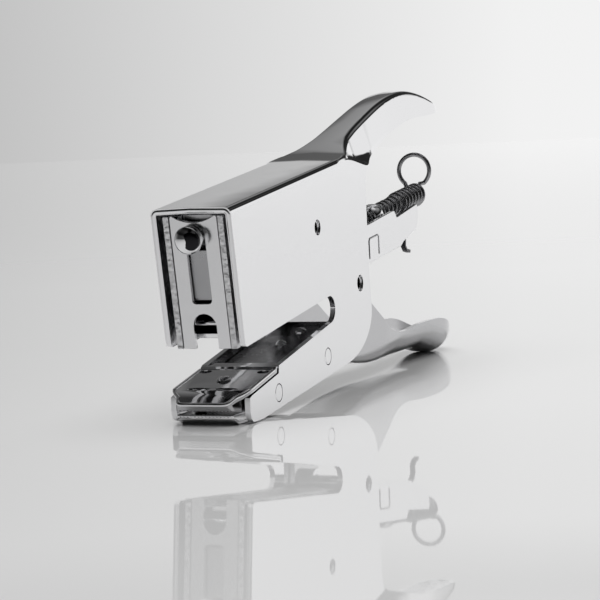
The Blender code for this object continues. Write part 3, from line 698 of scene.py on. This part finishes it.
def make_anvil_rim():
    """The rolled edge of the anvil plate, along both sides and round its front, in the brighter body chrome
    as a painted highlight along the edge.
    """
    side = [(9.2, -1.6), (9.2, -8.0), (9.2, -14.6), (8.95, -15.9), (8.1, -17.1), (7.05, -18.2)]
    front = [(6.55, -19.3), (6.1, -20.2), (5.2, -20.75), (3.0, -20.8), (0.0, -20.8)]
    half = curve_through(side + front, 5)
    path = half + [(-x, y) for x, y in reversed(half[:-1])]
    points = [(x, y, anvil_top(y) - 0.12) for x, y in path]
    rim = wire("fine_anvil_rim", points, 0.48, 7)
    dress(rim, "frame", "anvil_chrome")
    # Painted highlight: the rim gets the brighter chrome in place of the plate's darker one.
    rim.data.materials[0] = chrome


def make_rail_mark():
    """The staple sign on the rail's right wall, in darker steel as painted shade for its engraved line."""
    sign = [(73.6, 30.6), (73.5, 35.2), (74.0, 35.9), (80.0, 36.6), (80.7, 36.2), (80.8, 31.5)]
    mark = wire("fine_rail_mark", [(5.38, y, z) for y, z in sign], 0.3)
    dress(mark, "magazine", "rail_chrome")
    # Painted shade: the darker steel stands in for the shade inside the engraved line.
    mark.data.materials[0] = wire_steel


def make_throat_floor():
    """The tongue that carries the jaw's floor on to the back of the throat, and its two rivets."""
    def level(y):
        return jaw_top(y) - JAW_FLOOR_DEPTH

    tongue = [(29.0, level(29.0) - 0.9), (39.2, level(39.2) - 0.9), (40.9, 16.6), (41.0, 17.3)]
    tongue += [(40.4, 17.4), (39.0, level(39.0)), (31.0, level(31.0)), (29.0, level(29.0) - 0.3)]
    floor = prism("fine_throat_tongue", tongue, -6.4, 6.4)
    soften(floor, 0.2, 2, 30)
    dress(floor, "frame", "inner_steel")
    for name, x, y in (("fine_throat_rivet_front", 0.0, 24.4), ("fine_throat_rivet_rear", 1.2, 34.3)):
        def on_floor(r, a, h):
            forward = y + r * math.sin(a)
            return world(x + r * math.cos(a), forward, level(forward) + h)

        profile = [(0.05, -0.3), (1.5, -0.3), (1.5, 0.35), *arc((0.0, -1.0), 2.0, 44, 89, 8)]
        rivet = turned(name, profile, on_floor)
        smooth_below(rivet, 40)
        dress(rivet, "frame", "pin_chrome")


def make_rail_tab():
    """The tab that closes the front of the rail, seen through the arch of the nose plate."""
    points = [(x, *nose(5.2 - 0.5 * (1 - (x / 4.2) ** 2), 4.8)) for x in stations(-4.2, 4.2, 0.6)]
    dress(wire("fine_rail_tab", points, 0.7, 7), "magazine", "rail_chrome")


def make_refined():
    """The nodes that need only softer edges."""
    for node, body, width in (
        ("jaw_channel", "frame", 0.12),
        ("jaw_base_plate", "frame", 0.10),
        ("notched_strip", "frame", 0.05),
        ("anvil_rivet", "frame", 0.05),
        ("jaw_rivet_front", "frame", 0.12),
        ("jaw_rivet_rear", "frame", 0.12),
        ("pivot_pin", "frame", 0.12),
        ("stop_pin", "frame", 0.12),
        ("nose_plate", "magazine", 0.12),
        ("magazine_housing", "magazine", 0.10),
        ("staple_rail", "magazine", 0.12),
        ("tail_hook", "magazine", 0.15),
        ("driver_blade", "driver", 0.08),
        ("driver_carrier", "driver", 0.12),
        ("lever_cross_pin", "lever", 0.15),
        ("pusher", "pusher_body", 0.2),
    ):
        refine(node, body, width)
    refine("anvil_plate", "frame", 0.3, 3, 30)
    refine("staple_strip", "magazine", 0.08)


# Stage, lights and camera

def make_floor():
    """A pale glossy floor that reaches far behind the object."""
    mat, shader = new_material("floor")
    shader.inputs["Base Color"].default_value = (0.86, 0.86, 0.86, 1.0)
    shader.inputs["Roughness"].default_value = 0.02
    shader.inputs["IOR"].default_value = 1.33
    bm = bmesh.new()
    corners = [(-14.0, -1.6), (14.0, -1.6), (14.0, 16.0), (-14.0, 16.0)]
    bm.faces.new([bm.verts.new((x, y, 0.0)) for x, y in corners])
    mesh = bpy.data.meshes.new("floor")
    bm.to_mesh(mesh)
    bm.free()
    mesh.materials.append(mat)
    add_to_scene("floor", mesh)


SIDES = (
    (0.0, 0.30), (0.22, 0.48), (0.29, 0.69), (0.36, 0.88), (0.48, 0.94), (0.64, 0.90), (0.74, 0.88),
    (0.86, 0.35), (1.0, 0.15),
)
LEFT = (
    (0.0, 1.0), (0.19, 1.0), (0.22, 0.70), (0.265, 0.72), (0.30, 0.14), (0.42, 0.14), (0.52, 0.34),
    (0.64, 0.36), (0.70, 0.22), (0.78, 0.05), (0.88, 0.10), (0.94, 0.9), (1.0, 1.0),
)
MIDDLE = ((0.0, 1.0), (0.17, 1.0), (0.22, 0.03), (0.80, 0.01), (0.90, 0.10), (0.95, 0.9), (1.0, 1.0))
RIGHT = (
    (0.0, 1.0), (0.285, 1.0), (0.33, 0.03), (0.44, 0.012), (0.60, 0.30), (0.80, 0.30), (0.93, 0.9),
    (1.0, 1.0),
)
BEHIND = ((0.0, 0.10), (0.35, 0.12), (0.50, 0.5), (0.60, 1.0))


def make_world():
    """A pale sweep round the horizon that fades to the sides, with dark panels over it.

    SIDES says how bright it is from left to right, and BEHIND from behind the camera to ahead of it.
    LEFT, MIDDLE and RIGHT say how it changes with height on each side.
    """
    studio = bpy.data.worlds.new("studio")
    bpy.context.scene.world = studio
    studio.use_nodes = True
    tree = studio.node_tree
    add = node_adder(tree)

    def ramp(value, stops):
        node = add("ValToRGB", Fac=value)
        elements = node.color_ramp.elements
        while len(elements) < len(stops):
            elements.new(0.5)
        for element, (place, level) in zip(elements, stops):
            element.position = place
            element.color = (level, level, level, 1.0)
        return node.outputs["Color"]

    def product(one, two):
        node = tree.nodes.new("ShaderNodeMath")
        node.operation = "MULTIPLY"
        tree.links.new(one, node.inputs[0])
        tree.links.new(two, node.inputs[1])
        return node.outputs["Value"]

    def blended(factor, one, two):
        node = tree.nodes.new("ShaderNodeMix")
        node.data_type = "RGBA"
        tree.links.new(factor, node.inputs[0])
        tree.links.new(one, node.inputs[6])
        tree.links.new(two, node.inputs[7])
        return node.outputs[2]

    split = add("SeparateXYZ", Vector=add("TexCoord").outputs["Generated"])
    sideways = add("MapRange", Value=split.outputs["X"], From_Min=-1.0, From_Max=1.0).outputs["Result"]
    ahead = add("MapRange", Value=split.outputs["Y"], From_Min=-1.0, From_Max=1.0).outputs["Result"]
    height = ramp(split.outputs["Z"], LEFT)
    for start, end, levels in ((0.40, 0.475, MIDDLE), (0.58, 0.66, RIGHT)):
        height = blended(ramp(sideways, ((start, 0.0), (end, 1.0))), height, ramp(split.outputs["Z"], levels))
    light = product(product(ramp(sideways, SIDES), height), ramp(ahead, BEHIND))
    background = tree.nodes["Background"]
    tree.links.new(light, background.inputs["Color"])
    background.inputs["Strength"].default_value = 1.0


def soft_sun(strength, spread):
    """Light from above with soft shadows. Its disc isn't mirrored in the chrome."""
    lamp = bpy.data.lights.new("overhead", "SUN")
    lamp.energy = strength
    lamp.angle = math.radians(spread)
    add_to_scene("overhead", lamp).visible_glossy = False


def make_camera():
    """The camera at the picture's place, a little above the object and to its right."""
    yaw, pitch, roll = (math.radians(v) for v in (22.729, 4.457, -2.589))
    ahead = Vector((-math.sin(yaw) * math.cos(pitch), math.cos(yaw) * math.cos(pitch), -math.sin(pitch)))
    level = Vector((math.cos(yaw), math.sin(yaw), 0.0))
    up = level.cross(ahead)
    right = level * math.cos(roll) + up * math.sin(roll)
    over = up * math.cos(roll) - level * math.sin(roll)
    data = bpy.data.cameras.new("camera")
    data.sensor_width = 36.0
    data.lens = 120.07
    data.clip_start = 0.01
    camera = add_to_scene("camera", data)
    turn = Matrix((right, over, -ahead)).transposed().to_4x4()
    camera.matrix_world = Matrix.Translation((0.19071, -0.47534, 0.06148)) @ turn
    bpy.context.scene.camera = camera


make_body()
make_lever()
make_pull_ring()
make_pusher_spring()
make_return_spring()
make_stud()
make_ferrule()
make_refined()
make_shell_rim()
make_anvil_rim()
make_rail_mark()
make_throat_floor()
make_rail_tab()
make_floor()
make_world()
soft_sun(strength=2.05, spread=75)
make_camera()
bpy.context.scene.view_settings.view_transform = "Standard"
